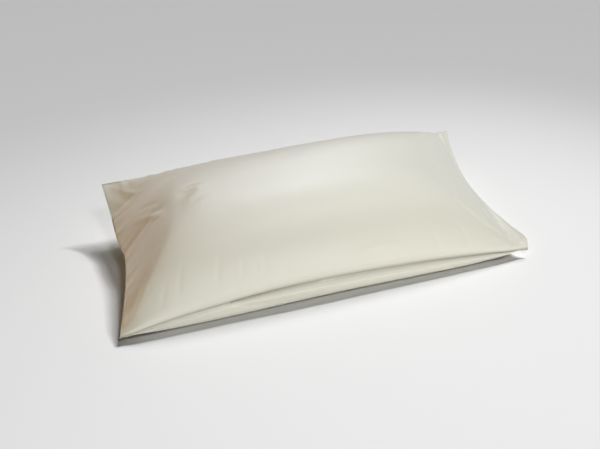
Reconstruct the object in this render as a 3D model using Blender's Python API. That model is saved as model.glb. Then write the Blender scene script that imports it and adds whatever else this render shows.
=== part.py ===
"""A filled pillowcase, 40 x 80 cm, lying on its back.

Two rectangular panels are sewn together round their edges and filled, so they make one closed
skin. The seam runs round it as a thin flat ridge. The front corners lie low and flat, the back
corners stand up, the short ends are drawn in, and the underside is flat where it rests.

Frame: +X along the long side towards the mouth end, +Y towards the back, +Z up, origin at the
bottom centre. Metres.
"""
import math

import bmesh
import bpy
from mathutils import Vector

# Flat size of each panel.
LENGTH = 0.80
WIDTH = 0.40

# The corners of the seam.
CORNERS = {
    "front_closed": Vector((-0.401, -0.188, 0.012)),
    "front_mouth": Vector((0.401, -0.180, 0.015)),
    "back_mouth": Vector((0.401, 0.188, 0.100)),
    "back_closed": Vector((-0.365, 0.180, 0.110)),
}

# How far the long sides are drawn in at their middle, and the short ends along their length:
# (share of the side's length, drawn in by).
DRAWN_IN = {"front": 0.012, "back": 0.016}
CLOSED_END_DRAW = (
    (0.0, 0.0),
    (0.15, 0.0133),
    (0.35, 0.0237),
    (0.52, 0.0258),
    (0.60, 0.0205),
    (0.67, 0.0160),
    (0.80, 0.0122),
    (0.90, 0.0075),
    (1.0, 0.0),
)
MOUTH_END_DRAW = (
    (0.0, 0.0),
    (0.06, 0.001),
    (0.14, 0.0105),
    (0.30, 0.0243),
    (0.50, 0.0290),
    (0.70, 0.0243),
    (0.88, 0.0122),
    (1.0, 0.0),
)

# Height of the seam along each side: (share of the side's length, height).
FRONT_SEAM = (
    (0.0, 0.012),
    (0.15, 0.027),
    (0.40, 0.038),
    (0.70, 0.032),
    (0.88, 0.022),
    (0.95, 0.0165),
    (1.0, 0.015),
)
BACK_SEAM = (
    (0.0, 0.110),
    (0.06, 0.112),
    (0.12, 0.114),
    (0.18, 0.109),
    (0.26, 0.102),
    (0.50, 0.100),
    (0.88, 0.096),
    (1.0, 0.100),
)
CLOSED_END_SEAM = (
    (0.0, 0.012),
    (0.14, 0.036),
    (0.50, 0.050),
    (0.80, 0.059),
    (0.92, 0.080),
    (1.0, 0.110),
)
MOUTH_END_SEAM = (
    (0.0, 0.015),
    (0.035, 0.032),
    (0.12, 0.039),
    (0.40, 0.051),
    (0.60, 0.062),
    (0.82, 0.081),
    (1.0, 0.100),
)

# The filling. Each panel stands off the seam's surface by its depth in the middle. Towards each
# side it falls off by a rounding (larger keeps the middle fuller) and a bluntness (smaller meets
# the seam more steeply).
CROWN = {
    "depth": 0.104,
    "front": (2.5, 0.68),
    "back": (3.4, 0.54),
    "closed_end": (5.4, 0.62),
    "mouth_end": (3.0, 0.60),
}
BELLY = {
    "depth": 0.094,
    "front": (4.2, 0.42),
    "back": (2.6, 0.60),
    "closed_end": (3.0, 0.78),
    "mouth_end": (3.4, 0.60),
}

# How far the belly's long sides swell past the seam, the share of its depth where the front
# swells most, and how fast the front swell fades towards the corners.
BELLY_BULGE = {"front": 0.0125, "back": 0.012}
BULGE_SHARE = 0.25
BULGE_FADE = 0.8

# The belly drops steeply from the long seams, so its rows are drawn together there.
ROWS_DRAWN = 0.90
FLOOR_SOFTENING = 0.008

# The closed end is pulled flat up to a crest: (share of the width, share of the length it lies in).
CREST = (
    (0.0, 0.008),
    (0.098, 0.042),
    (0.264, 0.092),
    (0.397, 0.107),
    (0.577, 0.124),
    (0.886, 0.165),
    (1.0, 0.180),
)
CREST_SOFTNESS = 0.16

# Beside the far closed corner the crown falls off more gently to the back.
FAR_CORNER_FALL = (2.6, 0.76)
FAR_CORNER_REACH = 0.34

# Flat face pressed into the mouth end of the crown: how softly its edge turns, how deep it
# sinks, and three places (u, v) of the crown that its plane runs through.
FACET_SOFTNESS = 0.005
FACET_SUNK = 0.003
FACET_PLACES = ((0.893, 0.600), (0.925, 0.900), (0.965, 0.600))
FACET_RISE = 0.02

# Shallow troughs and folds of the crown:
# (half width, height, start u, start v, end u, end v); a minus height sinks in.
FOLDS = (
    (0.020, -0.0040, 0.850, 0.240, 0.970, 0.030),
    (0.020, -0.0014, 0.030, 0.930, 0.065, 0.850),
)

# The seam ridge.
RIDGE_WIDTH = 0.005
CLOTH_THICKNESS = 0.0022

# How finely each panel is divided, and how strongly the lines gather towards the seam.
LENGTH_CELLS = 62
WIDTH_CELLS = 32
GATHER_TO_EDGE = 0.55

CLOTH_COLOUR = (0.76, 0.73, 0.64, 1.0)
CLOTH_ROUGHNESS = 0.55


def along(rows, share):
    """Smooth value of a two-column table at a share of the side's length."""
    last = len(rows) - 1
    step = 0
    while step < last - 1 and share > rows[step + 1][0]:
        step += 1
    start, end = rows[step], rows[step + 1]
    before, after = rows[max(step - 1, 0)], rows[min(step + 2, last)]
    span = end[0] - start[0]
    slope_start = (end[1] - before[1]) / (end[0] - before[0])
    slope_end = (after[1] - start[1]) / (after[0] - start[0])
    t = (share - start[0]) / span
    rise = (3.0 - 2.0 * t) * t * t
    return (start[1] * (1.0 - rise) + end[1] * rise
            + span * (slope_start * t * (1.0 - t) ** 2 - slope_end * t * t * (1.0 - t)))


def smooth_step(share):
    """0 below 0, 1 above 1 and an even curve between."""
    t = min(max(share, 0.0), 1.0)
    return t * t * (3.0 - 2.0 * t)


def bow(share):
    """0 at both ends of a side and 1 at its middle."""
    return 4.0 * share * (1.0 - share)


def seam_surface(u, v):
    """Point of the sheet stretched between the four seam sides; u runs to the mouth, v to the back."""
    front = CORNERS["front_closed"].lerp(CORNERS["front_mouth"], u)
    back = CORNERS["back_closed"].lerp(CORNERS["back_mouth"], u)
    point = front.lerp(back, v)
    point.x += along(CLOSED_END_DRAW, v) * (1.0 - u) - along(MOUTH_END_DRAW, v) * u
    point.y += bow(u) * (DRAWN_IN["front"] * (1.0 - v) - DRAWN_IN["back"] * v)
    corners = ((CORNERS["front_closed"].z * (1.0 - u) + CORNERS["front_mouth"].z * u) * (1.0 - v)
               + (CORNERS["back_closed"].z * (1.0 - u) + CORNERS["back_mouth"].z * u) * v)
    sides = (along(FRONT_SEAM, u) * (1.0 - v) + along(BACK_SEAM, u) * v
             + along(CLOSED_END_SEAM, v) * (1.0 - u) + along(MOUTH_END_SEAM, v) * u)
    point.z = sides - corners
    return point


def hump(share):
    """0 at the start, 1 at one reach from it, then fading away."""
    return share * math.exp(1.0 - share)


def lower_of(first, second, softness):
    """The smaller of two values, with the edge between them rounded over the softness."""
    if softness <= 0.0:
        return min(first, second)
    overlap = max(softness - abs(first - second), 0.0) / softness
    return min(first, second) - overlap ** 2 * softness / 4.0


def fall_off(place, rounding, bluntness):
    """Share of the full depth across a panel: 0 at both of its sides and 1 at its middle."""
    return max(1.0 - abs(2.0 * place - 1.0) ** rounding, 0.0) ** bluntness


def filling(panel, u, v):
    """Share of a panel's full depth at a point: 0 along the seam and 1 in the middle."""
    end = panel["closed_end"] if u < 0.5 else panel["mouth_end"]
    side = panel["front"] if v < 0.5 else panel["back"]
    return fall_off(u, *end) * fall_off(v, *side)


def crown_filling(u, v):
    """Filling of the crown, with its flat closed end and its gentler far corner."""
    if u >= 0.5:
        end = fall_off(u, *CROWN["mouth_end"])
    else:
        crest = along(CREST, v)
        flat = fall_off(crest, *CROWN["closed_end"]) * u / crest
        end = lower_of(fall_off(u, *CROWN["closed_end"]), flat, CREST_SOFTNESS * min(u / crest, 1.0))
    if v < 0.5:
        return end * fall_off(v, *CROWN["front"])
    near = 1.0 - smooth_step(u / FAR_CORNER_REACH)
    rounding, bluntness = (usual + near * (far - usual) for usual, far in zip(CROWN["back"], FAR_CORNER_FALL))
    return end * fall_off(v, rounding, bluntness)


def inside_ridge(share, side_length):
    """Share of the filled part of a side, inside the flat seam ridge at both of its ends."""
    ridge = RIDGE_WIDTH / side_length
    return min(max((share - ridge) / (1.0 - 2.0 * ridge), 0.0), 1.0)


def fold_height(u, v):
    """Sum of the soft troughs at a place of the top panel."""
    total = 0.0
    here = Vector((u * LENGTH, v * WIDTH))
    for half_width, height, start_u, start_v, end_u, end_v in FOLDS:
        start = Vector((start_u * LENGTH, start_v * WIDTH))
        run = Vector((end_u * LENGTH, end_v * WIDTH)) - start
        share = min(max((here - start).dot(run) / run.length_squared, 0.0), 1.0)
        distance = min((here - start - run * share).length / half_width, 1.0)
        total += height * math.cos(0.5 * math.pi * distance) ** 2 * (0.25 + 0.75 * math.sqrt(bow(share)))
    return total


def crown_point(u, v):
    """Point of the filled top panel before its flat face is pressed in."""
    point = seam_surface(u, v)
    share = crown_filling(inside_ridge(u, LENGTH), inside_ridge(v, WIDTH))
    point.z += 0.5 * CLOTH_THICKNESS + CROWN["depth"] * share
    return point


def pressed_in(point, seam_height):
    """Height of a crown point once the flat face at the mouth end is pressed in."""
    corner, second, third = (crown_point(u, v) for u, v in FACET_PLACES)
    normal = (second - corner).cross(third - corner)
    away = point - corner
    plane = corner.z - FACET_SUNK - (away.x * normal.x + away.y * normal.y) / normal.z
    fade = smooth_step((point.z - seam_height) / FACET_RISE)
    return point.z + fade * (lower_of(point.z, plane, FACET_SOFTNESS) - point.z)


def on_floor(height):
    """Height after the floor has pushed back: 0 where the belly rests, with a soft edge."""
    if height >= FLOOR_SOFTENING:
        return height
    if height <= -FLOOR_SOFTENING:
        return 0.0
    return (height + FLOOR_SOFTENING) ** 2 / (4.0 * FLOOR_SOFTENING)


def grid_share(index, cells, side_length):
    """Share of a side at a grid line: the seam ridge first, then lines closer near the edges."""
    if index in (0, cells):
        return index / cells
    ridge = RIDGE_WIDTH / side_length
    even = (index - 1) / (cells - 2)
    eased = 0.5 - 0.5 * math.cos(math.pi * even)
    return ridge + (1.0 - 2.0 * ridge) * (GATHER_TO_EDGE * eased + (1.0 - GATHER_TO_EDGE) * even)


def top_point(u, v):
    """Place of a point of the top panel."""
    point = crown_point(u, v)
    seam_height = seam_surface(u, v).z + 0.5 * CLOTH_THICKNESS
    point.z = pressed_in(point, seam_height)
    raised = smooth_step((point.z - seam_height) / FACET_RISE)
    point.z += raised * fold_height(u, v)
    return point


def bottom_point(u, v):
    """Place of a point of the bottom panel."""
    filled_v = inside_ridge(v, WIDTH)
    if 0.0 < v < 1.0:
        ridge = RIDGE_WIDTH / WIDTH
        filled_v -= ROWS_DRAWN * math.sin(2.0 * math.pi * filled_v) / (2.0 * math.pi)
        v = ridge + (1.0 - 2.0 * ridge) * filled_v
    share = filling(BELLY, inside_ridge(u, LENGTH), filled_v)
    point = seam_surface(u, v)
    point.z = on_floor(point.z - 0.5 * CLOTH_THICKNESS - BELLY["depth"] * share)
    if v < 0.5:
        swell = -BELLY_BULGE["front"] * hump(share / BULGE_SHARE) * bow(u) ** BULGE_FADE
    else:
        swell = BELLY_BULGE["back"] * bow(share)
    point.y += swell * (2.0 * v - 1.0) ** 2
    return point


def add_panel(mesh, is_top):
    """One panel as a grid of faces whose vertices are moved to their places."""
    place = top_point if is_top else bottom_point
    made = bmesh.ops.create_grid(mesh, x_segments=LENGTH_CELLS, y_segments=WIDTH_CELLS, size=0.5)
    for vertex in made["verts"]:
        column = round((vertex.co.x + 0.5) * LENGTH_CELLS)
        row = round((vertex.co.y + 0.5) * WIDTH_CELLS)
        u = grid_share(column, LENGTH_CELLS, LENGTH)
        v = grid_share(row, WIDTH_CELLS, WIDTH)
        vertex.co = place(u, v)
    return made["verts"]


def rim_edges(vertices):
    """The open edges round a panel."""
    edges = {edge for vertex in vertices for edge in vertex.link_edges}
    return [edge for edge in edges if edge.is_boundary]


def cloth_material():
    """Plain ecru sateen."""
    material = bpy.data.materials.new("ecru_sateen")
    material.use_nodes = True
    shader = material.node_tree.nodes["Principled BSDF"]
    shader.inputs["Base Color"].default_value = CLOTH_COLOUR
    shader.inputs["Roughness"].default_value = CLOTH_ROUGHNESS
    shader.inputs["Metallic"].default_value = 0.0
    return material


def filled_case():
    """The sewn and filled case as one closed solid."""
    mesh = bmesh.new()
    top = add_panel(mesh, is_top=True)
    bottom = add_panel(mesh, is_top=False)
    bmesh.ops.bridge_loops(mesh, edges=rim_edges(top) + rim_edges(bottom))
    bmesh.ops.recalc_face_normals(mesh, faces=mesh.faces)
    skin = bpy.data.meshes.new("filled_case")
    mesh.to_mesh(skin)
    mesh.free()
    skin.shade_smooth()
    skin.materials.append(cloth_material())
    return bpy.data.objects.new("filled_case", skin)


def main():
    for item in list(bpy.data.objects):
        bpy.data.objects.remove(item)
    collection = bpy.data.collections.new("pillowcase")
    bpy.context.scene.collection.children.link(collection)
    collection.objects.link(filled_case())


main()
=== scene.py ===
"""Looks of the filled pillowcase: sewn and filled sateen skin, hemmed mouth, stitches and studio."""
import math

import bpy
import numpy as np
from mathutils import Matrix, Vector


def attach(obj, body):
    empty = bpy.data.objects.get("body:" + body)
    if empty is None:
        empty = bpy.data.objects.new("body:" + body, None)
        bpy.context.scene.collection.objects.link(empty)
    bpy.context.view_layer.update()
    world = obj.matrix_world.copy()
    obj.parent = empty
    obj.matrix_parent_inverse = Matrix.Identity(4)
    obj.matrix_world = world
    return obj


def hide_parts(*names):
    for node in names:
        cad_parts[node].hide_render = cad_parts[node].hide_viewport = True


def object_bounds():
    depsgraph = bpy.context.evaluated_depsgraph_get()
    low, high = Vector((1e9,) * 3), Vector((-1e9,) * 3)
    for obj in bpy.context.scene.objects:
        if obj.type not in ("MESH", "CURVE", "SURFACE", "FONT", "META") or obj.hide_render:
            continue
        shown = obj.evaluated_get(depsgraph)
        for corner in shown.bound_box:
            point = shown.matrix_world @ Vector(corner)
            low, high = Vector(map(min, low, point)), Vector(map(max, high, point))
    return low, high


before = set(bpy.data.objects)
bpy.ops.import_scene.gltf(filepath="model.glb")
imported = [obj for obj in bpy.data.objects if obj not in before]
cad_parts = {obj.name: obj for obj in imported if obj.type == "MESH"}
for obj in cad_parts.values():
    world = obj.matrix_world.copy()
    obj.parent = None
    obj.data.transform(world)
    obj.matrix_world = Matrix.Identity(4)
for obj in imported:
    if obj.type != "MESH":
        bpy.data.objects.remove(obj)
CAD_LOW, CAD_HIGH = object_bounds()

# ---------------------------------------------------------------- sizes, metres
LENGTH = 0.80
WIDTH = 0.40
RIGHT = CAD_HIGH.x
FRONT = CAD_LOW.y
BACK = CAD_HIGH.y

# Corners of the seam, and how far each side is drawn in at its middle.
FRONT_CLOSED = np.array((-RIGHT, FRONT, 0.012))
FRONT_MOUTH = np.array((RIGHT, FRONT + 0.008, 0.015))
BACK_MOUTH = np.array((RIGHT, BACK, 0.100))
BACK_CLOSED = np.array((-RIGHT + 0.036, BACK - 0.008, 0.110))
DRAWN_IN = {"front": 0.012, "back": 0.016}
CLOSED_END_DRAW = ((0.0, 0.0), (0.15, 0.0133), (0.35, 0.0237), (0.52, 0.0258), (0.60, 0.0205), (0.67, 0.0160),
                   (0.80, 0.0122), (0.90, 0.0075), (1.0, 0.0))
MOUTH_END_DRAW = ((0.0, 0.0), (0.03, -0.001), (0.07, 0.0045), (0.14, 0.0125), (0.30, 0.0243), (0.50, 0.0290),
                  (0.70, 0.0243), (0.88, 0.0122), (1.0, 0.0))

# Height of the seam along each side: (share of the side, height).
FRONT_SEAM = ((0.0, 0.012), (0.15, 0.027), (0.40, 0.038), (0.70, 0.032), (0.88, 0.022), (0.95, 0.0165),
              (1.0, 0.015))
BACK_SEAM = ((0.0, 0.110), (0.06, 0.112), (0.12, 0.114), (0.18, 0.109), (0.26, 0.102), (0.50, 0.100),
             (0.88, 0.096), (1.0, 0.100))
CLOSED_END_SEAM = ((0.0, 0.012), (0.14, 0.036), (0.50, 0.050), (0.80, 0.059), (0.92, 0.080), (1.0, 0.110))
MOUTH_END_SEAM = ((0.0, 0.015), (0.035, 0.032), (0.12, 0.039), (0.40, 0.051), (0.60, 0.062), (0.82, 0.081),
                  (1.0, 0.100))

# The filling: depth in the middle, and how it falls off to each side as (rounding, bluntness).
CROWN = {"depth": 0.104, "front": (2.5, 0.68), "back": (3.4, 0.54), "closed_end": (5.4, 0.62),
         "mouth_end": (3.0, 0.60)}
# The closed end is pulled flat up to a ridge: how far in it lies across the width, and its softness.
RIDGE = ((0.0, 0.008), (0.098, 0.042), (0.264, 0.092), (0.397, 0.107), (0.577, 0.124), (0.886, 0.165),
         (1.0, 0.180))
RIDGE_SOFTNESS = 0.16
# Beside the far closed corner the filling falls off gently to the back, over this reach from the end.
FAR_CORNER = {"back": (2.6, 0.76), "reach": 0.34}
BELLY = {"depth": 0.094, "front": (4.2, 0.42), "back": (2.6, 0.60), "closed_end": (3.0, 0.78),
         "mouth_end": (3.4, 0.60)}
# How far the belly's long sides swell out past the seam, at what share of its depth, and how they fade.
BELLY_BULGE = {"front": 0.0125, "back": 0.012}
BULGE_SHARE = 0.25
BULGE_FADE = 0.8
ROWS_DRAWN = 0.96
FLOOR_SOFTENING = 0.008

# Flat face beside the mouth: softness of its edge, how deep it sinks, three places (u, v) it runs through,
# and how high over the seam it is whole.
FACETS = (
    (0.005, 0.0050, (0.893, 0.600), (0.925, 0.900), (0.965, 0.600)),
)
FACET_CLEAR = 0.02

SEAM_WIDTH = 0.0016
HEM_WIDTH = 0.010
CLOTH = 0.0012
HEM = 0.0014

# The mouth: how far it gapes in the middle, how deep the gap is modelled, how far the lower hem peeps out.
MOUTH_GAPE = 0.0024
MOUTH_POCKET = 0.012
LOWER_HEM_PEEP = 0.0022

# The lower panel's cloth lies this far beside the upper one's in the flat pattern.
LOWER_CLOTH_SHIFT = 0.5

LONG_CELLS = 110
WIDE_CELLS = 56
CLOSER_AT_EDGES = 0.72

# Groove along the seam: how far the filled cloth stands out beyond it, and over what distance.
GROOVE_DEPTH = {"front": 0.0026, "back": 0.0022, "closed_end": 0.0016}
GROOVE_REACH = 0.0032

# Gathers along the seams: wavelengths and phases, height, and how far they reach in.
GATHER_WAVES = ((0.0310, 0.7, 1.0), (0.0470, 2.1, 0.9), (0.0190, 4.0, 0.5), (0.0830, 1.3, 0.7))
GATHER_HEIGHT = {"front": 0.00005, "back": 0.0006, "closed_end": 0.0005, "mouth_end": 0.0004}
GATHER_REACH = 0.0075

# Creases of the top panel: half width, height (minus sinks in), then the places (u, v) it runs through.
TOP_CREASES = (
    (0.0130, -0.0055, (0.850, 0.240), (0.894, 0.132), (0.915, 0.090), (0.939, 0.061), (0.970, 0.030)),
    (0.0110, 0.0016, (0.930, 0.260), (0.950, 0.130), (0.975, 0.060)),
    (0.0070, 0.0022, (0.905, 0.610), (0.948, 0.585)),
    (0.0100, 0.0011, (0.050, 0.640), (0.085, 0.540), (0.112, 0.420)),
    (0.0090, -0.0009, (0.070, 0.700), (0.105, 0.600)),
    (0.0080, 0.0010, (0.015, 0.985), (0.045, 0.950), (0.090, 0.860)),
    (0.0140, -0.0014, (0.030, 0.930), (0.065, 0.850)),
    (0.0100, -0.0018, (0.430, 0.780), (0.432, 0.930)),
    (0.0055, 0.0012, (0.012, 0.120), (0.013, 0.300), (0.013, 0.520)),
    (0.0060, -0.0006, (0.278, 0.034), (0.283, 0.080)),
    (0.0050, -0.0005, (0.310, 0.032), (0.313, 0.062)),
    (0.0055, -0.0006, (0.335, 0.032), (0.331, 0.076)),
    (0.0080, -0.0005, (0.441, 0.014), (0.405, 0.080)),
    (0.0080, -0.0005, (0.133, 0.040), (0.142, 0.118)),
    (0.0070, -0.0004, (0.094, 0.034), (0.104, 0.078)),
    (0.0085, -0.0006, (0.221, 0.040), (0.231, 0.105)),
    (0.0060, -0.0016, (0.552, 0.012), (0.610, 0.018), (0.668, 0.012)),
    (0.0080, 0.0010, (0.560, 0.030), (0.610, 0.038), (0.665, 0.030)),
    (0.0050, -0.0010, (0.760, 0.010), (0.752, 0.055)),
    (0.0060, -0.0010, (0.840, 0.012), (0.822, 0.075)),
)
BOTTOM_CREASES = (
    (0.0180, -0.0005, (0.170, 0.045), (0.180, 0.110)),
    (0.0130, 0.0006, (0.300, 0.034), (0.290, 0.100)),
    (0.0200, -0.0009, (0.455, 0.030), (0.440, 0.120)),
    (0.0140, -0.0007, (0.640, 0.030), (0.655, 0.110)),
    (0.0180, 0.0007, (0.780, 0.034), (0.770, 0.110)),
)

# Creases keep this far off the long seams, so that the seam line runs on unbroken.
CREASE_CLEAR = 0.004

# Filling the case: air pressure, extra cloth let in near the seams, and the most that a point may move.
PRESSURE = 4.0
EXTRA_CLOTH = 0.03
EXTRA_REACH = 0.050
SETTLE_FRAMES = 20
MOST_MOVE = 0.0035


def along(rows, share):
    """Smooth curve through a two-column table."""
    place, height = np.array(rows).T
    slope = np.empty_like(height)
    slope[1:-1] = (height[2:] - height[:-2]) / (place[2:] - place[:-2])
    slope[0] = (height[1] - height[0]) / (place[1] - place[0])
    slope[-1] = (height[-1] - height[-2]) / (place[-1] - place[-2])
    step = np.clip(np.searchsorted(place, share, side="right") - 1, 0, len(place) - 2)
    span = place[step + 1] - place[step]
    t = (share - place[step]) / span
    rise = (3.0 - 2.0 * t) * t * t
    return (height[step] * (1.0 - rise) + height[step + 1] * rise
            + span * (slope[step] * t * (1.0 - t) ** 2 - slope[step + 1] * t * t * (1.0 - t)))


def bow(share):
    """0 at both ends of a side and 1 at its middle."""
    return 4.0 * share * (1.0 - share)


def hump(t):
    """0 at the start, 1 at one reach from it, then fading away."""
    return t * np.exp(1.0 - t)


def smooth_step(share):
    t = np.clip(share, 0.0, 1.0)
    return t * t * (3.0 - 2.0 * t)


def seam_surface(u, v):
    """Points of the sheet stretched between the four seam sides; u runs to the mouth, v to the back."""
    u_, v_ = u[..., None], v[..., None]
    point = ((FRONT_CLOSED * (1.0 - u_) + FRONT_MOUTH * u_) * (1.0 - v_)
             + (BACK_CLOSED * (1.0 - u_) + BACK_MOUTH * u_) * v_)
    corners = point[..., 2].copy()
    point[..., 0] += along(CLOSED_END_DRAW, v) * (1.0 - u) - along(MOUTH_END_DRAW, v) * u
    point[..., 1] += bow(u) * (DRAWN_IN["front"] * (1.0 - v) - DRAWN_IN["back"] * v)
    point[..., 2] = (along(FRONT_SEAM, u) * (1.0 - v) + along(BACK_SEAM, u) * v
                     + along(CLOSED_END_SEAM, v) * (1.0 - u) + along(MOUTH_END_SEAM, v) * u - corners)
    return point


def fall_off(place, rounding, bluntness):
    """Share of the full depth across one side: 0 at its two ends and 1 at its middle."""
    return np.maximum(1.0 - np.abs(2.0 * place - 1.0) ** rounding, 0.0) ** bluntness


def filling(panel, u, v):
    """Share of a panel's full depth: 0 along the seam and 1 in the middle."""
    share = np.ones_like(u)
    for place, low, high in ((u, "closed_end", "mouth_end"), (v, "front", "back")):
        rounding, bluntness = (np.where(place < 0.5, panel[low][i], panel[high][i]) for i in (0, 1))
        share *= fall_off(place, rounding, bluntness)
    return share


def crown_filling(u, v):
    """Filling of the crown, with the flat closed end and the gentle far corner."""
    ridge = along(RIDGE, v)
    end = fall_off(u, *(np.where(u < 0.5, CROWN["closed_end"][i], CROWN["mouth_end"][i]) for i in (0, 1)))
    flat = fall_off(ridge, *CROWN["closed_end"]) * u / ridge
    end = np.where(u < 0.5, lower_of(end, flat, RIDGE_SOFTNESS * np.minimum(u / ridge, 1.0)), end)
    near = 1.0 - smooth_step(u / FAR_CORNER["reach"])
    rounding, bluntness = (np.where(v < 0.5, CROWN["front"][i],
                                    CROWN["back"][i] + near * (FAR_CORNER["back"][i] - CROWN["back"][i]))
                           for i in (0, 1))
    return end * fall_off(v, rounding, bluntness)


def lower_of(a, b, softness):
    """The smaller of two heights, with the edge between them rounded over the softness."""
    softness = np.maximum(softness, 1e-9)
    overlap = np.maximum(softness - np.abs(a - b), 0.0) / softness
    return np.minimum(a, b) - overlap ** 2 * softness / 4.0


def inside_seam(u, v):
    """Shares of the filled part of a panel, inside the flat seam and the flat hem."""
    seam_u, hem_u, seam_v = SEAM_WIDTH / LENGTH, HEM_WIDTH / LENGTH, SEAM_WIDTH / WIDTH
    filled_u = np.clip((u - seam_u) / (1.0 - seam_u - hem_u), 0.0, 1.0)
    filled_v = np.clip((v - seam_v) / (1.0 - 2.0 * seam_v), 0.0, 1.0)
    return filled_u, filled_v


def crown_points(u, v):
    """The top panel as it is filled, before its flat faces are pressed in."""
    point = seam_surface(u, v)
    point[..., 2] += 0.5 * CLOTH + CROWN["depth"] * crown_filling(*inside_seam(u, v))
    return point


def top_panel(u, v):
    point = crown_points(u, v)
    seam = seam_surface(u, v)[..., 2] + 0.5 * CLOTH
    for softness, sunk, *places in FACETS:
        a, b, c = crown_points(*np.array(places).T)
        normal = np.cross(b - a, c - a)
        away = point[..., :2] - a[:2]
        plane = a[2] - sunk - (away[..., 0] * normal[0] + away[..., 1] * normal[1]) / normal[2]
        fade = smooth_step((point[..., 2] - seam) / FACET_CLEAR)
        point[..., 2] += fade * (lower_of(point[..., 2], plane, softness) - point[..., 2])
    return point


def on_floor(height):
    """Height after the floor has pushed back: 0 where the belly rests, with a soft edge."""
    soft = (height + FLOOR_SOFTENING) ** 2 / (4.0 * FLOOR_SOFTENING)
    return np.where(height >= FLOOR_SOFTENING, height, np.where(height <= -FLOOR_SOFTENING, 0.0, soft))


def bottom_panel(u, v):
    """The lower panel: it drops steeply from the long seams, so its rows are drawn together there."""
    seam = SEAM_WIDTH / WIDTH
    filled_u, filled_v = inside_seam(u, v)
    filled_v = filled_v - ROWS_DRAWN * np.sin(2.0 * math.pi * filled_v) / (2.0 * math.pi)
    v = np.where((v > 0.5 * seam) & (v < 1.0 - 0.5 * seam), seam + (1.0 - 2.0 * seam) * filled_v, v)
    point = seam_surface(u, v)
    share = filling(BELLY, filled_u, filled_v)
    point[..., 2] = on_floor(point[..., 2] - 0.5 * CLOTH - BELLY["depth"] * share)
    front = BELLY_BULGE["front"] * hump(share / BULGE_SHARE) * bow(u) ** BULGE_FADE
    point[..., 1] += np.where(v < 0.5, -front, BELLY_BULGE["back"] * bow(share)) * (2.0 * v - 1.0) ** 2
    return point


def grid_lines(cells, first, last):
    """Shares of a side at its grid lines: the flat edges first, then lines a little closer near them."""
    even = np.linspace(0.0, 1.0, cells - 1)
    eased = 0.5 - 0.5 * np.cos(math.pi * even)
    inner = first + (1.0 - first - last) * (CLOSER_AT_EDGES * eased + (1.0 - CLOSER_AT_EDGES) * even)
    return np.concatenate(([0.0], inner, [1.0]))


def panel_grid():
    u_lines = grid_lines(LONG_CELLS, SEAM_WIDTH / LENGTH, HEM_WIDTH / LENGTH)
    v_lines = grid_lines(WIDE_CELLS, SEAM_WIDTH / WIDTH, SEAM_WIDTH / WIDTH)
    return np.meshgrid(u_lines, v_lines, indexing="ij")


def closed_mesh(name, top, bottom):
    """One closed mesh from the two panels' grids of points, bridged round their edges."""
    columns, rows = top.shape[:2]
    index = np.arange(columns * rows).reshape(columns, rows)
    quads = np.stack((index[:-1, :-1], index[1:, :-1], index[1:, 1:], index[:-1, 1:]), axis=-1).reshape(-1, 4)
    rim = np.concatenate((index[:-1, 0], index[-1, :-1], index[:0:-1, -1], index[0, :0:-1]))
    below, ahead = columns * rows, np.roll(rim, -1)
    side = np.stack((rim + below, ahead + below, ahead, rim), axis=-1)
    faces = np.concatenate((quads, quads[:, ::-1] + below, side))
    mesh = bpy.data.meshes.new(name)
    mesh.from_pydata(np.concatenate((top.reshape(-1, 3), bottom.reshape(-1, 3))).tolist(), [], faces.tolist())
    mesh.update()
    return mesh


# ---------------------------------------------------------------- seams, gathers and creases
def side_distances(u, v):
    """Distance along the cloth from each side, and the place along that side."""
    return {
        "front": (v * WIDTH, u * LENGTH),
        "back": ((1.0 - v) * WIDTH, u * LENGTH + 0.37),
        "closed_end": (u * LENGTH, v * WIDTH + 0.19),
        "mouth_end": ((1.0 - u) * LENGTH, v * WIDTH + 0.55),
    }


def outward_push(u, v):
    """How far the filled cloth stands out past the seam, as (n, m, 3)."""
    push = np.zeros((*u.shape, 3))
    ways = {"front": (0.0, -1.0, 0.0), "back": (0.0, 1.0, 0.0), "closed_end": (-1.0, 0.0, 0.0)}
    for side, depth in GROOVE_DEPTH.items():
        distance = side_distances(u, v)[side][0]
        along_side = u if side in ("front", "back") else v
        ends = smooth_step(np.minimum(along_side, 1.0 - along_side) / 0.06)
        amount = depth * ends * hump(np.maximum(distance - SEAM_WIDTH, 0.0) / GROOVE_REACH)
        push += amount[..., None] * np.array(ways[side])
    return push


def gathers(u, v, shift):
    """Small uneven ripples that run in from the seams."""
    height = np.zeros_like(u)
    for side, (distance, place) in side_distances(u, v).items():
        wave = sum(size * np.sin(2.0 * math.pi * place / length + phase + shift)
                   for length, phase, size in GATHER_WAVES)
        height += GATHER_HEIGHT[side] * wave * hump(distance / GATHER_REACH)
    return height


def crease_height(rows, u, v):
    """Sum of a table of creases at each place of a panel; each fades out towards its two ends."""
    height = np.zeros_like(u)
    here = np.stack((u * LENGTH, v * WIDTH), axis=-1)
    for half_width, rise, *places in rows:
        knots = np.array(places) * (LENGTH, WIDTH)
        lengths = np.linalg.norm(np.diff(knots, axis=0), axis=1)
        starts = np.concatenate(([0.0], np.cumsum(lengths)))
        nearest, run = np.full(u.shape, np.inf), np.zeros_like(u)
        for a, b, start, length in zip(knots[:-1], knots[1:], starts, lengths):
            share = np.clip(((here - a) @ (b - a)) / length ** 2, 0.0, 1.0)
            distance = np.linalg.norm(here - a - share[..., None] * (b - a), axis=-1)
            closer = distance < nearest
            nearest = np.where(closer, distance, nearest)
            run = np.where(closer, (start + share * length) / starts[-1], run)
        across = np.cos(0.5 * math.pi * np.minimum(nearest / half_width, 1.0)) ** 2
        height += rise * across * (0.25 + 0.75 * np.sqrt(bow(run)))
    return height


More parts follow.
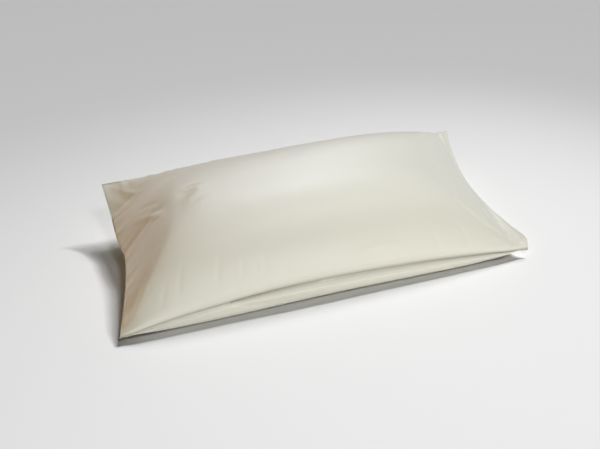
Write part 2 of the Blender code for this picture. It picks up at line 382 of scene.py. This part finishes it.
def normals(point):
    """Unit normals of a grid of points, upwards for the top panel."""
    along_u, along_v = np.gradient(point, axis=0), np.gradient(point, axis=1)
    normal = np.cross(along_u, along_v)
    return normal / np.maximum(np.linalg.norm(normal, axis=-1, keepdims=True), 1e-12)


def finer(values):
    """Puts a new row or column between each two, on a smooth curve through them."""
    for axis in (0, 1):
        a = np.moveaxis(values, axis, 0)
        padded = np.concatenate((2.0 * a[:1] - a[1:2], a, 2.0 * a[-1:] - a[-2:-1]))
        between = (9.0 * (padded[1:-2] + padded[2:-1]) - padded[:-3] - padded[3:]) / 16.0
        out = np.empty((2 * len(a) - 1, *a.shape[1:]))
        out[::2] = a
        out[1::2] = between
        values = np.moveaxis(out, 0, axis)
    return values


# ---------------------------------------------------------------- filling the case
def settle(top, bottom, u, v):
    """How far air pressure moves each point of the two panels, with spare cloth gathered at the seams."""
    mesh = closed_mesh("settling", top, bottom)
    case = bpy.data.objects.new("settling", mesh)
    bpy.context.scene.collection.objects.link(case)
    edge = np.minimum(np.minimum(u, 1.0 - u) * LENGTH, np.minimum(v, 1.0 - v) * WIDTH)
    spare = case.vertex_groups.new(name="spare")
    held = case.vertex_groups.new(name="held")
    count = u.size
    for index, (distance, low) in enumerate(zip(np.tile(edge.ravel(), 2).tolist(),
                                                np.concatenate((top, bottom))[..., 2].ravel().tolist())):
        spare.add([index], max(0.0, 1.0 - distance / EXTRA_REACH), "REPLACE")
        if distance < 1e-6 or (index >= count and low < 0.002):
            held.add([index], 1.0, "REPLACE")
    cloth = case.modifiers.new("filling", "CLOTH")
    settings = cloth.settings
    settings.quality = 5
    settings.mass = 0.15
    settings.tension_stiffness = 20.0
    settings.compression_stiffness = 20.0
    settings.shear_stiffness = 6.0
    settings.bending_stiffness = 0.08
    settings.air_damping = 2.0
    settings.vertex_group_mass = "held"
    settings.vertex_group_shrink = "spare"
    settings.shrink_min = 0.0
    settings.shrink_max = -EXTRA_CLOTH
    settings.use_pressure = True
    settings.uniform_pressure_force = PRESSURE
    settings.effector_weights.gravity = 0.0
    cloth.collision_settings.use_self_collision = False
    cloth.point_cache.frame_start = 1
    cloth.point_cache.frame_end = SETTLE_FRAMES
    for number in range(1, SETTLE_FRAMES + 1):
        bpy.context.scene.frame_set(number)
    settled = case.evaluated_get(bpy.context.evaluated_depsgraph_get()).to_mesh()
    place = np.empty(len(settled.vertices) * 3)
    settled.vertices.foreach_get("co", place)
    bpy.data.objects.remove(case)
    move = place.reshape(2, *top.shape) - np.stack((top, bottom))
    size = np.linalg.norm(move, axis=-1, keepdims=True)
    return move * MOST_MOVE * np.tanh(size / MOST_MOVE) / np.maximum(size, 1e-9)


# ---------------------------------------------------------------- the finished skin
def mouth_gape(v):
    """Gap between the two hems of the mouth."""
    return 0.0003 + MOUTH_GAPE * bow(v) ** 0.8


def hem_lift(u, v):
    """How far a hem stands off the middle of the mouth, fading out past the hem."""
    near = 1.0 - smooth_step(((1.0 - u) * LENGTH - HEM_WIDTH) / 0.020)
    return near * (0.5 * mouth_gape(v) + HEM - 0.5 * CLOTH)


def finished_panels(u, v, move):
    """The two panels with their settled shape, gathers, creases and seam grooves."""
    top, bottom = top_panel(u, v) + move[0], bottom_panel(u, v) + move[1]
    push = outward_push(u, v)
    clear = smooth_step((np.minimum(v, 1.0 - v) * WIDTH - CREASE_CLEAR) / CREASE_CLEAR)
    rise = gathers(u, v, 0.0) + clear * crease_height(TOP_CREASES, u, v)
    top = top + push + normals(top) * rise[..., None]
    off_floor = smooth_step(bottom[..., 2] / 0.010)
    drop = (gathers(u, v, 1.9) + crease_height(BOTTOM_CREASES, u, v)) * off_floor
    bottom = bottom + push * off_floor[..., None] - normals(bottom) * drop[..., None]
    lift = hem_lift(u, v)
    top[..., 2] += lift
    bottom[..., 2] -= lift
    bottom[..., 2] = np.maximum(bottom[..., 2], 0.0)
    return top, bottom


def with_mouth(panel, way, peep):
    """Adds the turned edge of a hem and the inside of the mouth; way is 1 for the top panel, -1 below."""
    edge, inward = panel[-1], panel[-3] - panel[-1]
    inward = inward / np.linalg.norm(inward, axis=-1, keepdims=True)
    v = np.linspace(0.0, 1.0, len(edge))
    down = np.array((0.0, 0.0, -way))
    ends = np.zeros_like(edge)
    ends[0, 1], ends[-1, 1] = 0.0020, -0.0020
    out = peep[:, None] if way < 0 else np.zeros((len(edge), 1))
    edge = edge - inward * out
    half_gape = 0.5 * mouth_gape(v)[:, None]
    rows = [
        edge,
        edge - inward * 0.30 * HEM + down * 0.35 * HEM,
        edge - inward * 0.15 * HEM + down * 0.85 * HEM + 0.3 * ends,
        edge + inward * 0.6 * HEM + down * HEM + ends,
        edge + inward * 0.5 * MOUTH_POCKET + down * HEM + ends,
        edge + inward * MOUTH_POCKET + down * (HEM + half_gape - 0.0001) + 1.5 * ends,
    ]
    return np.concatenate((panel[:-1], np.stack(rows)))


def case_skin(u, v, top, bottom):
    rows = np.linspace(0.0, 1.0, u.shape[1])
    peep = LOWER_HEM_PEEP * bow(rows) * (0.6 + 0.4 * np.sin(7.0 * rows) * np.sin(17.0 * rows + 1.0))
    top, bottom = with_mouth(top, 1, peep), with_mouth(bottom, -1, peep)
    mesh = closed_mesh("case_skin", top, bottom)
    extra = len(top) - len(u)
    last = np.repeat(u[-1:], extra, axis=0) - np.arange(extra)[:, None] * 0.001
    lengthways = np.concatenate((u, last)) * LENGTH
    widthways = np.concatenate((v, v[:extra])) * WIDTH
    flat = np.stack((lengthways, widthways), axis=-1).reshape(-1, 2)
    flat = np.concatenate((flat, flat + (0.0, LOWER_CLOTH_SHIFT)))
    uv = mesh.uv_layers.new(name="cloth")
    corner = np.empty(len(mesh.loops), np.int32)
    mesh.loops.foreach_get("vertex_index", corner)
    uv.data.foreach_set("uv", flat[corner].astype(np.float32).ravel())
    # Painted shade mask: 1 on the two long seams, fading out within a seam's width beside them; the material
    # darkens the cloth's colour there in place of the groove's shade.
    across = flat[:, 1] % LOWER_CLOTH_SHIFT
    from_seam = np.minimum(across, WIDTH - across)
    shade = smooth_step(1.0 - (from_seam - 0.5 * SEAM_WIDTH) / SEAM_WIDTH)
    mesh.attributes.new("painted_seam_shade", "FLOAT", "POINT").data.foreach_set("value", shade.astype(np.float32))
    mesh.shade_smooth()
    return mesh


# ---------------------------------------------------------------- stitches
STITCH = {"length": 0.0026, "gap": 0.0011, "width": 0.00055, "height": 0.00035}
STITCH_ROWS = (0.0080, 0.0024)


def group_input(tree, name, kind, value):
    socket = tree.interface.new_socket(name=name, in_out="INPUT", socket_type=kind)
    if value is not None:
        socket.default_value = value
    return socket


def stitch_tree(thread):
    """Lays one rounded stitch after another along each line, in the line's own direction."""
    tree = bpy.data.node_groups.new("stitch_row", "GeometryNodeTree")
    group_input(tree, "Seam Lines", "NodeSocketGeometry", None)
    group_input(tree, "Stitch Length", "NodeSocketFloat", STITCH["length"])
    group_input(tree, "Stitch Gap", "NodeSocketFloat", STITCH["gap"])
    group_input(tree, "Stitch Width", "NodeSocketFloat", STITCH["width"])
    group_input(tree, "Stitch Height", "NodeSocketFloat", STITCH["height"])
    group_input(tree, "Seed", "NodeSocketInt", 7)
    tree.interface.new_socket(name="Stitches", in_out="OUTPUT", socket_type="NodeSocketGeometry")

    def node(kind, **values):
        made = tree.nodes.new(kind)
        for name, value in values.items():
            setattr(made, name, value)
        return made

    given, result = node("NodeGroupInput"), node("NodeGroupOutput")
    to_curve = node("GeometryNodeMeshToCurve")
    step = node("ShaderNodeMath", operation="ADD")
    spaced = node("GeometryNodeResampleCurve", mode="LENGTH")
    stitch = node("GeometryNodeMeshUVSphere")
    stitch.inputs["Segments"].default_value = 8
    stitch.inputs["Rings"].default_value = 5
    stitch.inputs["Radius"].default_value = 0.5
    smooth = node("GeometryNodeSetShadeSmooth")
    tangent = node("GeometryNodeInputTangent")
    face = node("GeometryNodeInputNamedAttribute", data_type="FLOAT_VECTOR")
    face.inputs["Name"].default_value = "face"
    along_line = node("FunctionNodeAlignRotationToVector", axis="X")
    upright = node("FunctionNodeAlignRotationToVector", axis="Z", pivot_axis="X")
    wobble = node("FunctionNodeRandomValue", data_type="FLOAT")
    wobble.inputs[2].default_value = 0.86
    wobble.inputs[3].default_value = 1.10
    long_side = node("ShaderNodeMath", operation="MULTIPLY")
    size = node("ShaderNodeCombineXYZ")
    placed = node("GeometryNodeInstanceOnPoints")
    real = node("GeometryNodeRealizeInstances")
    finish = node("GeometryNodeSetMaterial")
    finish.inputs["Material"].default_value = thread

    link = tree.links.new
    link(given.outputs["Seam Lines"], to_curve.inputs["Mesh"])
    link(given.outputs["Stitch Length"], step.inputs[0])
    link(given.outputs["Stitch Gap"], step.inputs[1])
    link(to_curve.outputs["Curve"], spaced.inputs["Curve"])
    link(step.outputs[0], spaced.inputs["Length"])
    link(stitch.outputs["Mesh"], smooth.inputs["Geometry"])
    link(tangent.outputs["Tangent"], along_line.inputs["Vector"])
    link(along_line.outputs["Rotation"], upright.inputs["Rotation"])
    link(face.outputs["Attribute"], upright.inputs["Vector"])
    link(given.outputs["Seed"], wobble.inputs["Seed"])
    link(given.outputs["Stitch Length"], long_side.inputs[0])
    link(wobble.outputs[1], long_side.inputs[1])
    link(long_side.outputs[0], size.inputs["X"])
    link(given.outputs["Stitch Width"], size.inputs["Y"])
    link(given.outputs["Stitch Height"], size.inputs["Z"])
    link(spaced.outputs["Curve"], placed.inputs["Points"])
    link(smooth.outputs["Geometry"], placed.inputs["Instance"])
    link(upright.outputs["Rotation"], placed.inputs["Rotation"])
    link(size.outputs["Vector"], placed.inputs["Scale"])
    link(placed.outputs["Instances"], real.inputs["Geometry"])
    link(real.outputs["Geometry"], finish.inputs["Geometry"])
    link(finish.outputs["Geometry"], result.inputs["Stitches"])
    return tree


def row_on_panel(u, panel, from_edge):
    """Points and outward normals along a line on a panel, at a distance from the mouth's edge."""
    share = 1.0 - from_edge / LENGTH
    column = np.searchsorted(u[:, 0], share) - 1
    mix = (share - u[column, 0]) / (u[column + 1, 0] - u[column, 0])
    facing = normals(panel)
    line = panel[column] * (1.0 - mix) + panel[column + 1] * mix
    return line[2:-2], facing[column][2:-2]


def hem_stitches(u, top, bottom, thread):
    points, faces, edges = [], [], []
    for panel, way in ((top, 1.0), (bottom, -1.0)):
        for from_edge in STITCH_ROWS:
            line, facing = row_on_panel(u, panel, from_edge)
            start = sum(len(part) for part in points)
            points.append(line + way * facing * 0.25 * STITCH["height"])
            faces.append(way * facing)
            edges += [(start + k, start + k + 1) for k in range(len(line) - 1)]
    mesh = bpy.data.meshes.new("hem_stitches")
    mesh.from_pydata(np.concatenate(points).tolist(), edges, [])
    facing_out = mesh.attributes.new("face", "FLOAT_VECTOR", "POINT")
    facing_out.data.foreach_set("vector", np.concatenate(faces).ravel())
    rows = bpy.data.objects.new("hem_lines", mesh)
    bpy.context.scene.collection.objects.link(rows)
    modifier = rows.modifiers.new("stitches", "NODES")
    modifier.node_group = stitch_tree(thread)
    for item in modifier.node_group.interface.items_tree:
        if item.in_out == "INPUT" and item.name.startswith("Stitch "):
            modifier[item.identifier] = STITCH[item.name.split()[1].lower()]
    made = bpy.data.meshes.new_from_object(rows.evaluated_get(bpy.context.evaluated_depsgraph_get()))
    made.name = "hem_stitches"
    rows.modifiers.clear()
    bpy.data.objects.remove(rows)
    stitches = bpy.data.objects.new("hem_stitches", made)
    bpy.context.scene.collection.objects.link(stitches)
    return stitches


# ---------------------------------------------------------------- materials
ECRU = (0.780, 0.765, 0.652)
ECRU_DEEP = (0.750, 0.729, 0.608)
THREAD = (0.840, 0.780, 0.660)
# Painted shade along the long seams: the seam line is given this share of the deep tone, so it is darker than
# its groove alone would make it.
SEAM_SHADE = 0.62


def shader_group(name, inputs, outputs):
    tree = bpy.data.node_groups.new(name, "ShaderNodeTree")
    for label, kind, value in inputs:
        group_input(tree, label, kind, value)
    for label, kind in outputs:
        tree.interface.new_socket(name=label, in_out="OUTPUT", socket_type=kind)
    return tree, tree.nodes.new("NodeGroupInput"), tree.nodes.new("NodeGroupOutput")


def maths(tree, operation, first, second):
    made = tree.nodes.new("ShaderNodeMath")
    made.operation = operation
    for socket, value in zip(made.inputs, (first, second)):
        if isinstance(value, (int, float)):
            socket.default_value = value
        else:
            tree.links.new(value, socket)
    return made.outputs[0]


def stretched(tree, place, scale):
    made = tree.nodes.new("ShaderNodeMapping")
    made.inputs["Scale"].default_value = scale
    tree.links.new(place, made.inputs["Vector"])
    return made.outputs["Vector"]


def noise(tree, place, scale, detail, roughness=0.5):
    made = tree.nodes.new("ShaderNodeTexNoise")
    made.inputs["Scale"].default_value = scale
    made.inputs["Detail"].default_value = detail
    made.inputs["Roughness"].default_value = roughness
    tree.links.new(place, made.inputs["Vector"])
    return made.outputs["Fac"]


def weave_group():
    """Sateen floats: long threads side by side, each row stepped along, now and then a thicker thread."""
    tree, given, result = shader_group(
        "sateen_weave",
        (("Place", "NodeSocketVector", None), ("Threads per Metre", "NodeSocketFloat", 2600.0),
         ("Slub", "NodeSocketFloat", 0.5)),
        (("Tone", "NodeSocketFloat"), ("Height", "NodeSocketFloat")))
    scaled = tree.nodes.new("ShaderNodeVectorMath")
    scaled.operation = "SCALE"
    tree.links.new(given.outputs["Place"], scaled.inputs[0])
    tree.links.new(given.outputs["Threads per Metre"], scaled.inputs["Scale"])
    floats = tree.nodes.new("ShaderNodeTexBrick")
    floats.offset = 0.4
    floats.offset_frequency = 1
    floats.inputs["Scale"].default_value = 1.0
    floats.inputs["Mortar Size"].default_value = 0.16
    floats.inputs["Mortar Smooth"].default_value = 1.0
    floats.inputs["Brick Width"].default_value = 5.0
    floats.inputs["Row Height"].default_value = 1.0
    tree.links.new(scaled.outputs["Vector"], floats.inputs["Vector"])
    thread = maths(tree, "SUBTRACT", 1.0, floats.outputs["Fac"])
    slub = noise(tree, stretched(tree, given.outputs["Place"], (14.0, 900.0, 1.0)), 1.0, 2.0)
    slub_across = noise(tree, stretched(tree, given.outputs["Place"], (1100.0, 22.0, 1.0)), 1.0, 2.0)
    slubs = maths(tree, "MULTIPLY", maths(tree, "ADD", slub, slub_across), given.outputs["Slub"])
    tree.links.new(maths(tree, "ADD", maths(tree, "MULTIPLY", thread, 0.5), slubs), result.inputs["Height"])
    tone = maths(tree, "ADD", maths(tree, "MULTIPLY", thread, 0.25), maths(tree, "MULTIPLY", slubs, 0.75))
    tree.links.new(tone, result.inputs["Tone"])
    return tree


def mottle_group():
    """Slow uneven tone of washed cotton, as a factor from 0 to 1."""
    tree, given, result = shader_group(
        "washed_mottle",
        (("Place", "NodeSocketVector", None), ("Patches per Metre", "NodeSocketFloat", 9.0)),
        (("Tone", "NodeSocketFloat"), ("Rumple", "NodeSocketFloat")))
    scaled = tree.nodes.new("ShaderNodeVectorMath")
    scaled.operation = "SCALE"
    tree.links.new(given.outputs["Place"], scaled.inputs[0])
    tree.links.new(given.outputs["Patches per Metre"], scaled.inputs["Scale"])
    tree.links.new(noise(tree, scaled.outputs["Vector"], 1.0, 3.0), result.inputs["Tone"])
    rumple = noise(tree, stretched(tree, scaled.outputs["Vector"], (2.4, 3.6, 2.4)), 1.0, 2.5, 0.45)
    tree.links.new(rumple, result.inputs["Rumple"])
    return tree


def cotton(name, light, deep, weave, mottle, threads, slub, roughness, sheen, bumps, mapped=True):
    """A cotton finish: tone and height from the weave and the mottle, on its own Principled shader."""
    material = bpy.data.materials.new(name)
    material.use_nodes = True
    tree = material.node_tree
    shader = tree.nodes["Principled BSDF"]
    shader.inputs["Specular IOR Level"].default_value = sheen["specular"]
    shader.inputs["Sheen Weight"].default_value = sheen["weight"]
    shader.inputs["Sheen Roughness"].default_value = sheen["roughness"]
    shader.inputs["Sheen Tint"].default_value = (1.0, 0.99, 0.97, 1.0)
    solid = tree.nodes.new("ShaderNodeTexCoord")
    place = solid.outputs["Object"]
    if mapped:
        flat = tree.nodes.new("ShaderNodeUVMap")
        flat.uv_map = "cloth"
        place = flat.outputs["UV"]
    woven = tree.nodes.new("ShaderNodeGroup")
    woven.node_tree = weave
    woven.inputs["Threads per Metre"].default_value = threads
    woven.inputs["Slub"].default_value = slub
    washed = tree.nodes.new("ShaderNodeGroup")
    washed.node_tree = mottle
    tree.links.new(place, woven.inputs["Place"])
    tree.links.new(solid.outputs["Object"], washed.inputs["Place"])
    tone = maths(tree, "ADD", maths(tree, "MULTIPLY", woven.outputs["Tone"], 0.55),
                 maths(tree, "MULTIPLY", washed.outputs["Tone"], 0.45))
    colour = tree.nodes.new("ShaderNodeMix")
    colour.data_type = "RGBA"
    colour.inputs[6].default_value = (*deep, 1.0)
    colour.inputs[7].default_value = (*light, 1.0)
    tree.links.new(tone, colour.inputs[0])
    # Painted shade: the seam mask darkens the base colour along the two long seams, standing in for the shade
    # in the seam's groove.
    seam_shade_mask = tree.nodes.new("ShaderNodeAttribute")
    seam_shade_mask.attribute_name = "painted_seam_shade"
    seam_shaded_colour = tree.nodes.new("ShaderNodeMix")
    seam_shaded_colour.data_type = "RGBA"
    seam_shaded_colour.inputs[7].default_value = (*(SEAM_SHADE * part for part in deep), 1.0)
    tree.links.new(seam_shade_mask.outputs["Fac"], seam_shaded_colour.inputs[0])
    tree.links.new(colour.outputs[2], seam_shaded_colour.inputs[6])
    tree.links.new(seam_shaded_colour.outputs[2], shader.inputs["Base Color"])
    rough = tree.nodes.new("ShaderNodeMapRange")
    rough.inputs["To Min"].default_value = roughness - 0.05
    rough.inputs["To Max"].default_value = roughness + 0.05
    tree.links.new(washed.outputs["Tone"], rough.inputs["Value"])
    tree.links.new(rough.outputs["Result"], shader.inputs["Roughness"])
    normal = None
    for (distance, strength), height in zip(bumps, (washed.outputs["Rumple"], woven.outputs["Height"])):
        bump = tree.nodes.new("ShaderNodeBump")
        bump.inputs["Distance"].default_value = distance
        bump.inputs["Strength"].default_value = strength
        tree.links.new(height, bump.inputs["Height"])
        if normal is not None:
            tree.links.new(normal, bump.inputs["Normal"])
        normal = bump.outputs["Normal"]
    tree.links.new(normal, shader.inputs["Normal"])
    return material


def plain(name, colour, roughness):
    material = bpy.data.materials.new(name)
    material.use_nodes = True
    shader = material.node_tree.nodes["Principled BSDF"]
    shader.inputs["Base Color"].default_value = (*colour, 1.0)
    shader.inputs["Roughness"].default_value = roughness
    shader.inputs["Specular IOR Level"].default_value = 0.1
    return material


# ---------------------------------------------------------------- studio
# The floor and the case are lit by separate lights.
KEY_UP = 50.0
LIT_PLACE = (0.0, 0.0, 0.05)


def aim(item, target):
    item.rotation_euler = (Vector(target) - item.location).to_track_quat("-Z", "Y").to_euler()


def lit_only(name, items):
    """A set of things that one light shines on."""
    lit = bpy.data.collections.new(name)
    for item in items:
        lit.objects.link(item)
    return lit


def soft_light(name, place, size, watts, lit, colour=(1.0, 1.0, 1.0)):
    light = bpy.data.lights.new(name, "AREA")
    light.shape = "DISK"
    light.size = size
    light.energy = watts
    light.color = colour
    return placed_light(name, light, place, lit)


def far_light(name, azimuth, spread, strength, lit):
    light = bpy.data.lights.new(name, "SUN")
    light.angle = math.radians(spread)
    light.energy = strength
    around, up = math.radians(azimuth), math.radians(KEY_UP)
    place = (math.cos(up) * math.cos(around), math.cos(up) * math.sin(around), math.sin(up))
    return placed_light(name, light, place, lit, (0.0, 0.0, 0.0))


def beam_light(name, place, target, spread, watts, lit):
    light = bpy.data.lights.new(name, "SPOT")
    light.spot_size = math.radians(spread)
    light.spot_blend = 1.0
    light.shadow_soft_size = 0.12
    light.energy = watts
    return placed_light(name, light, place, lit, target)


def placed_light(name, light, place, lit, target=LIT_PLACE):
    item = bpy.data.objects.new(name, light)
    item.location = place
    item.visible_camera = False
    item.light_linking.receiver_collection = lit
    bpy.context.scene.collection.objects.link(item)
    aim(item, target)
    return item


def studio(pieces):
    mesh = bpy.data.meshes.new("floor")
    size = 14.0
    corners = [(-size, -size, 0), (size, -size, 0), (size, size, 0), (-size, size, 0)]
    mesh.from_pydata(corners, [], [(0, 1, 2, 3)])
    floor = bpy.data.objects.new("floor", mesh)
    floor.location.z = -0.0004
    bpy.context.scene.collection.objects.link(floor)
    floor.data.materials.append(plain("pale_floor", (0.84, 0.84, 0.84), 0.9))
    world = bpy.data.worlds.new("studio")
    bpy.context.scene.world = world
    world.use_nodes = True
    world.node_tree.nodes["Background"].inputs["Color"].default_value = (1.0, 1.0, 1.0, 1.0)
    world.node_tree.nodes["Background"].inputs["Strength"].default_value = 0.0
    on_floor_only, on_case_only = lit_only("lit_floor", [floor]), lit_only("lit_case", pieces)
    far_light("wide_key", 48.0, 15.0, 1.50, on_floor_only)
    far_light("narrow_key", 28.0, 6.0, 0.82, on_floor_only)
    beam_light("beam_on_floor", (2.1, 0.95, 2.85), (0.0, -0.35, 0.0), 38.0, 172.0, on_floor_only)
    soft_light("front_on_floor", (0.0, -1.4, 1.9), 0.5, 9.5, on_floor_only)
    soft_light("front_on_case", (0.6, -2.5, 0.6), 1.0, 29.5, on_case_only)
    soft_light("overhead", (0.28, -0.34, 1.25), 0.6, 6.2, on_case_only)
    soft_light("behind", (0.32, 0.90, 1.20), 0.8, 12.0, on_case_only, (0.97, 1.00, 1.10))
    soft_light("right", (1.6, -1.2, 0.5), 0.8, 1.2, on_case_only)
    soft_light("warm_wall", (-2.0, 0.1, 0.30), 0.8, 6.9, on_case_only, (1.0, 0.47, 0.0))


def camera():
    azimuth, elevation, distance = math.radians(-19.1), math.radians(32.2), 1.77
    target = Vector((-0.010, 0.0, 0.05))
    back = Vector((math.sin(azimuth) * math.cos(elevation), -math.cos(azimuth) * math.cos(elevation),
                   math.sin(elevation)))
    data = bpy.data.cameras.new("camera")
    data.sensor_width = 36.0
    data.lens = 53.8
    item = bpy.data.objects.new("camera", data)
    item.location = target + back * distance
    bpy.context.scene.collection.objects.link(item)
    aim(item, target)
    bpy.context.scene.camera = item


def main():
    u, v = panel_grid()
    move = np.zeros((2, *u.shape, 3))
    move = settle(top_panel(u, v), bottom_panel(u, v), u, v)
    u, v = finer(u), finer(v)
    top, bottom = finished_panels(u, v, np.stack([finer(part) for part in move]))
    weave, mottle = weave_group(), mottle_group()
    sateen = cotton("ecru_sateen", ECRU, ECRU_DEEP, weave, mottle, 2600.0, 0.5, 0.50,
                    {"specular": 0.6, "weight": 0.50, "roughness": 0.50}, ((0.0016, 0.35), (0.0001, 0.30)))
    thread = cotton("ecru_thread", THREAD, ECRU, weave, mottle, 5200.0, 0.5, 0.55,
                    {"specular": 0.5, "weight": 0.20, "roughness": 0.40}, ((0.0002, 0.10), (0.0001, 0.30)),
                    mapped=False)
    case = bpy.data.objects.new("case_skin", case_skin(u, v, top, bottom))
    bpy.context.scene.collection.objects.link(case)
    case.data.materials.append(sateen)
    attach(case, "root")
    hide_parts("filled_case")
    stitches = hem_stitches(u, top, bottom, thread)
    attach(stitches, "root")
    studio([case, stitches])
    camera()
    bpy.context.scene.view_settings.view_transform = "Standard"


main()
